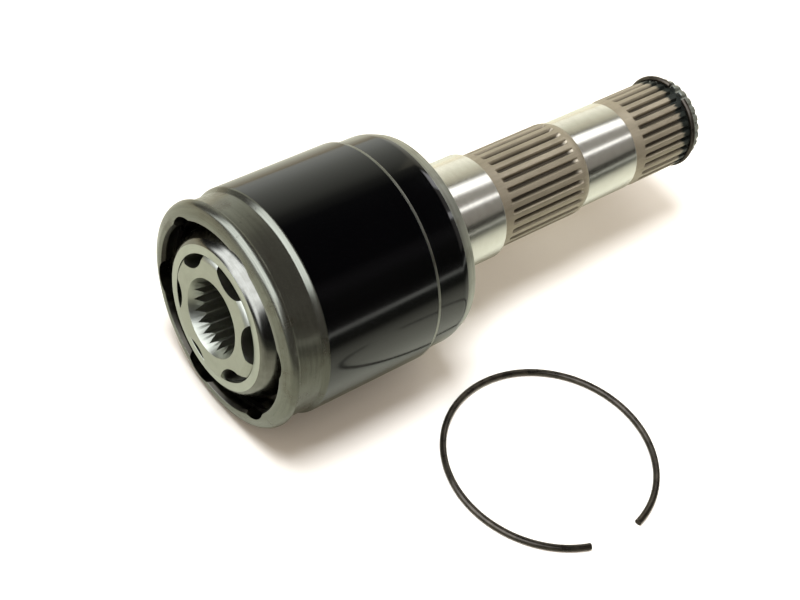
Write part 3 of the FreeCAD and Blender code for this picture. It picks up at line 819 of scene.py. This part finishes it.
def soft_box(tree, azimuth, elevation, half_width, half_height, edge):
    """How far a direction of the room lies inside a soft-edged window, from 0 to 1; angles in degrees."""
    turn, rise = math.radians(azimuth), math.radians(elevation)
    ahead = Vector((math.cos(turn) * math.cos(rise), math.sin(turn) * math.cos(rise), math.sin(rise)))
    side = Vector((-math.sin(turn), math.cos(turn), 0))
    facing = add(tree, "ShaderNodeTexCoord").outputs["Generated"]
    share = spread(tree, reach_along(tree, facing, ahead), 0.0, 0.1)
    for along, half in ((side, half_width), (ahead.cross(side), half_height)):
        off = reach_along(tree, facing, along)
        inner, outer = math.sin(math.radians(half - edge)), math.sin(math.radians(half + edge))
        inside = spread(tree, combine(tree, "ABSOLUTE", off), inner, outer, 1.0, 0.0)
        share = combine(tree, "MULTIPLY", share, inside)
    return share


# What smooth steel and paint mirror, by the angle about the joint's axis from +Y towards +Z in degrees
WALLS = [
    (0, "fafcf2"), (11, "f6f8ee"), (22, "e2e4d8"), (51, "9b9c91"), (61, "5b5c55"), (72, "20221f"),
    (90, "0e0f0e"), (130, "080809"), (137, "353434"), (143, "3c3b3b"), (152, "242521"), (168, "1c1d19"),
    (180, "3a3a36"),
]

# Windows behind the camera, which what faces the mouth's side mirrors: azimuth, elevation, half width,
# half height and soft edge in degrees, colour and strength
WINDOWS = [
    (170, 46, 42, 27, 5, "f2f7ff", 4.6),
    (163, 14, 12, 9, 4, "f2f7ff", 4.6),
]

# Small strips close over the stub, that its journals mirror and the bell does not: where they hang in
# metres, then for each its angles about the axis in degrees, its strength and its colour
CARD_START_X = 0.14
CARD_END_X = 0.34
CARD_REACH = 0.12
CARDS = [
    ("wall_strip", (-12, 66), 0.5, "c6bfa6"),
    ("first_strip", (74, 94), 2.1, "ffffff"),
    ("between_strip", (95, 120), 0.45, "d8d4cc"),
    ("second_strip", (121, 127.6), 2.2, "ffffff"),
    ("low_strip", (129, 160), 0.4, "c9c4bc"),
]

# The soft lamp over the far side: its place and sides in metres, and its power in watts
KEY_PLACE = (-0.2, 0.08, 1.3)
KEY_TARGET = (0.07, 0.0, 0.0)
KEY_SIDES = (0.55, 0.55)
KEY_POWER = 24.0


def mirrored_room(tree):
    """The colour of the room in each direction, as glossy surfaces mirror it."""
    facing = add(tree, "ShaderNodeTexCoord").outputs["Generated"]
    x, y, z = add(tree, "ShaderNodeSeparateXYZ", {0: facing}).outputs
    half_turns = combine(tree, "DIVIDE", combine(tree, "ARCTAN2", z, y), math.pi)
    ramp = add(tree, "ShaderNodeValToRGB", {0: half_turns})
    stops = ramp.color_ramp.elements
    while len(stops) < len(WALLS):
        stops.new(0.5)
    for stop, (angle, colour) in zip(stops, WALLS):
        stop.position = angle / 180
        stop.color = linear(colour)
    towards_stub = spread(tree, x, -0.15, 0.15)
    mirrored = blend_colours(tree, towards_stub, "2a2a2c", ramp.outputs[0])
    for azimuth, elevation, half_width, half_height, edge, colour, strength in WINDOWS:
        share = soft_box(tree, azimuth, elevation, half_width, half_height, edge)
        mixer = add(tree, "ShaderNodeMix", data_type="RGBA", clamp_result=False)
        tree.links.new(share, mixer.inputs[0])
        tree.links.new(mirrored, mixer.inputs[6])
        mixer.inputs[7].default_value = [channel * strength for channel in linear(colour)[:3]] + [1.0]
        mirrored = mixer.outputs[2]
    return mirrored


def glow_card(name, angles, strength, colour):
    """A small soft strip over the stub that only its journals mirror, between two angles about the axis."""
    low, high = (math.radians(angle) for angle in angles)
    middle = (low + high) / 2
    outward = Vector((0, math.cos(middle), math.sin(middle)))
    centre = Vector(((CARD_START_X + CARD_END_X) / 2, 0, 0)) + CARD_REACH * outward
    size = (CARD_END_X - CARD_START_X, 2 * CARD_REACH * math.tan((high - low) / 2))
    lamp = area_lamp(name, centre, size, math.pi * strength * size[0] * size[1], colour)
    lamp.visible_camera = False
    along = Vector((1, 0, 0))
    turn_lamp(lamp, Matrix((along, outward.cross(along), outward)).transposed().to_quaternion())


def make_lights():
    """A soft lamp over the far side, an even glow, and the room that glossy surfaces mirror."""
    key = area_lamp("key", KEY_PLACE, KEY_SIDES, KEY_POWER, "ffffff")
    key.visible_glossy = False
    turn_lamp(key, (key.location - Vector(KEY_TARGET)).to_track_quat("Z", "Y"))
    for name, angles, strength, tint in CARDS:
        glow_card(name, angles, strength, tint)
    world = bpy.data.worlds.new("surround")
    bpy.context.scene.world = world
    world.use_nodes = True
    tree = world.node_tree
    tree.nodes.clear()
    path = add(tree, "ShaderNodeLightPath")
    soft = blend_colours(tree, path.outputs["Is Glossy Ray"], "d2c3b0", mirrored_room(tree))
    colour = blend_colours(tree, path.outputs["Is Camera Ray"], soft, "ffffff")
    background = add(tree, "ShaderNodeBackground", {"Color": colour, "Strength": 1.0})
    add(tree, "ShaderNodeOutputWorld", {"Surface": background.outputs[0]})


def make_camera():
    """The camera at the photograph's place, from its azimuth, elevation and roll."""
    azimuth, elevation, roll = (math.radians(a) for a in (CAMERA_AZIMUTH, CAMERA_ELEVATION, CAMERA_ROLL))
    level_ahead = Vector((math.sin(azimuth), math.cos(azimuth), 0))
    ahead = math.cos(elevation) * level_ahead - Vector((0, 0, math.sin(elevation)))
    level = Vector((math.cos(azimuth), -math.sin(azimuth), 0))
    upright = level.cross(ahead)
    right = math.cos(roll) * level + math.sin(roll) * upright
    up = math.cos(roll) * upright - math.sin(roll) * level
    data = bpy.data.cameras.new("camera")
    data.sensor_width = SENSOR_WIDTH
    data.lens = CAMERA_FOCAL_PIXELS / IMAGE_WIDTH * SENSOR_WIDTH
    data.shift_x = (IMAGE_WIDTH / 2 - CAMERA_CENTRE[0]) / IMAGE_WIDTH
    data.shift_y = (CAMERA_CENTRE[1] - IMAGE_HEIGHT / 2) / IMAGE_WIDTH
    data.clip_start = 0.01
    data.clip_end = 20.0
    camera = bpy.data.objects.new("camera", data)
    turn = Matrix((right, up, -ahead)).transposed().to_4x4()
    camera.matrix_world = Matrix.Translation(CAMERA_PLACE) @ turn
    bpy.context.scene.collection.objects.link(camera)
    bpy.context.scene.camera = camera


def main():
    """Dresses every node, then sets the stage, the lamps and the camera."""
    journal = ground_steel("ground_journal_steel", "dedcd5", "c6c3bb", 0.2, 0.002, 0.3)
    race_face = ground_steel("ground_race_steel", "a2a398", "939489", 0.34, 0.004, 0.5)
    cage_face = ground_steel("faced_cage_steel", "acaea4", "9c9e94", 0.32, 0.004, 0.5)
    cage_steel = ground_steel("polished_cage_steel", "7b7a73", "605e57", 0.19, 0.003, 0.8)
    finishes = [turned_steel(), black_paint(), taper_steel(), journal, phosphate_steel(), bore_steel()]
    outer = make_outer_race(finishes)
    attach(outer, "housing")
    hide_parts("outer_race")
    inner = make_inner_race([race_face])
    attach(inner, "inner_race")
    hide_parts("inner_race")
    cage = make_cage([cage_face, cage_steel])
    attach(cage, "cage")
    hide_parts("cage")
    wire = spring_steel()
    dress_cad("stub_circlip", [wire])
    dress_cad("snap_ring", [wire])
    lapped = ball_steel()
    for index in range(1, 7):
        dress_cad("ball_%d" % index, [lapped])
    make_stage()
    make_lights()
    make_camera()
    bpy.context.scene.view_settings.view_transform = "Standard"


main()
